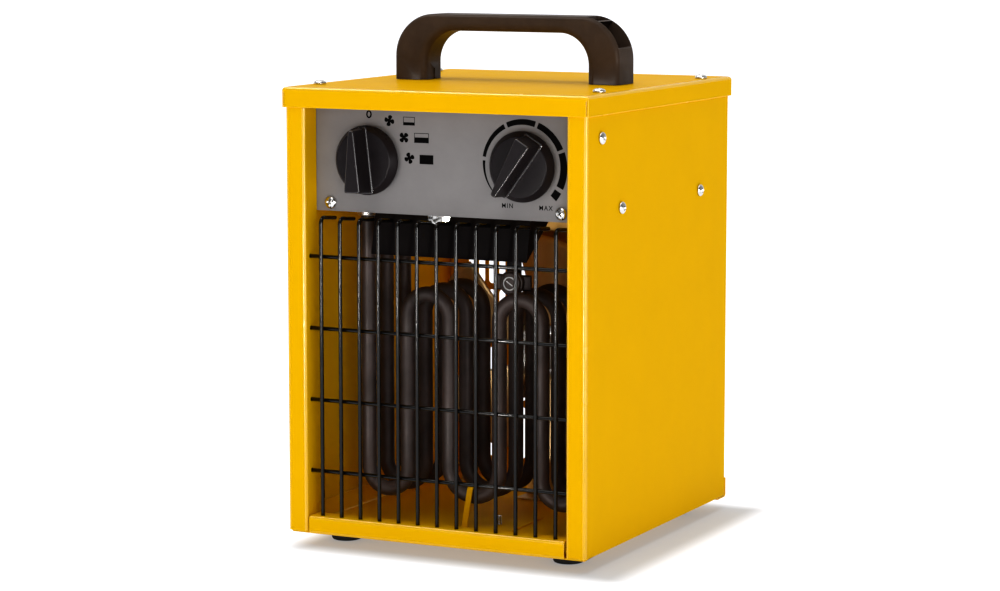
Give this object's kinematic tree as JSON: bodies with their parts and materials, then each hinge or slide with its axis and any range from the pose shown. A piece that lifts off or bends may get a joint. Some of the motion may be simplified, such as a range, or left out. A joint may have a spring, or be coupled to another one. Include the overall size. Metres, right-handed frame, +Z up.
{
  "type": "forced air heater",
  "caption": "Portable electric fan heater: a folded steel box with a carry handle, wire outlet grille, bent tubular elements, axial fan and two control knobs on rubber feet.",
  "frame": {"origin": "on the floor below the middle of the casing", "axes": "+Z up; the outlet grille and knobs face -Y; +X to the viewer's right"},
  "size_m": [0.2106, 0.2407, 0.3299],
  "materials": {
    "yellow_paint": "smooth powder coat, satin",
    "grey_paint": "fine satin paint",
    "handle_plastic": "fine moulded grain",
    "knob_plastic": "satin moulding",
    "grille_coating": "coated wire, satin",
    "shield_coating": "heat resistant black coat",
    "element_sheath": "heat-darkened sheath",
    "zinc_steel": "bright zinc plating",
    "aluminium": "bare pressed sheet",
    "motor_steel": "stacked electrical steel",
    "copper": "bare copper and enamelled wire",
    "rubber": "matte",
    "white_plastic": "heat resistant moulding"
  },
  "bodies": {
    "casing": {"bearing_bridge_front": "aluminium", "bearing_bridge_rear": "aluminium", "bottom_tray": "yellow_paint", "bulb_clip": "zinc_steel", "cable_gland": "handle_plastic", "carry_handle": "handle_plastic", "clip_screw": "zinc_steel", "compartment_shelf": "yellow_paint", "control_panel": "grey_paint", "cover_screw_1": "zinc_steel", "cover_screw_2": "zinc_steel", "cover_screw_3": "zinc_steel", "cover_screw_4": "zinc_steel", "cutout_strip": "shield_coating", "element_clip": "yellow_paint", "foot_front_left": "rubber", "foot_front_right": "rubber", "foot_rear_left": "rubber", "foot_rear_right": "rubber", "foot_screw_front_left": "zinc_steel", "foot_screw_front_right": "zinc_steel", "foot_screw_rear_left": "zinc_steel", "foot_screw_rear_right": "zinc_steel", "handle_screw_left": "zinc_steel", "handle_screw_right": "zinc_steel", "heat_shield": "shield_coating", "heating_element_front": "element_sheath", "heating_element_middle": "element_sheath", "heating_element_rear": "element_sheath", "left_screw_1": "zinc_steel", "left_screw_2": "zinc_steel", "left_screw_3": "zinc_steel", "motor_coil": "copper", "motor_stator": "motor_steel", "motor_strap": "zinc_steel", "outlet_grille": "grille_coating", "panel_screw_left": "zinc_steel", "panel_screw_right": "zinc_steel", "rear_panel": "yellow_paint", "rear_screw_lower_left": "zinc_steel", "rear_screw_lower_right": "zinc_steel", "rear_screw_upper_left": "zinc_steel", "rear_screw_upper_right": "zinc_steel", "right_screw_1": "zinc_steel", "right_screw_2": "zinc_steel", "right_screw_3": "zinc_steel", "selector_switch": "white_plastic", "side_panel_left": "yellow_paint", "side_panel_right": "yellow_paint", "terminal_block": "white_plastic", "thermal_cutout": "element_sheath", "thermostat": "zinc_steel", "thermostat_bulb": "copper", "top_cover": "yellow_paint"},
    "selector": {"selector_knob": "knob_plastic", "selector_shaft": "zinc_steel"},
    "thermostat_control": {"thermostat_knob": "knob_plastic", "thermostat_shaft": "zinc_steel"},
    "fan": {"fan_impeller": "aluminium", "motor_rotor": "motor_steel"}
  },
  "joints": [
    {"name": "selector_turn", "type": "hinge", "parent": "casing", "child": "selector", "pos_m": [-0.052, -0.099, 0.243], "axis": [0, 1, 0], "range_deg": [0, 90]},
    {"name": "thermostat_turn", "type": "hinge", "parent": "casing", "child": "thermostat_control", "pos_m": [0.054, -0.099, 0.243], "axis": [0, 1, 0], "range_deg": [0, 270]},
    {"name": "fan_spin", "type": "hinge", "parent": "casing", "child": "fan", "pos_m": [0, 0.038, 0.1095], "axis": [0, 1, 0], "continuous": true}
  ]
}
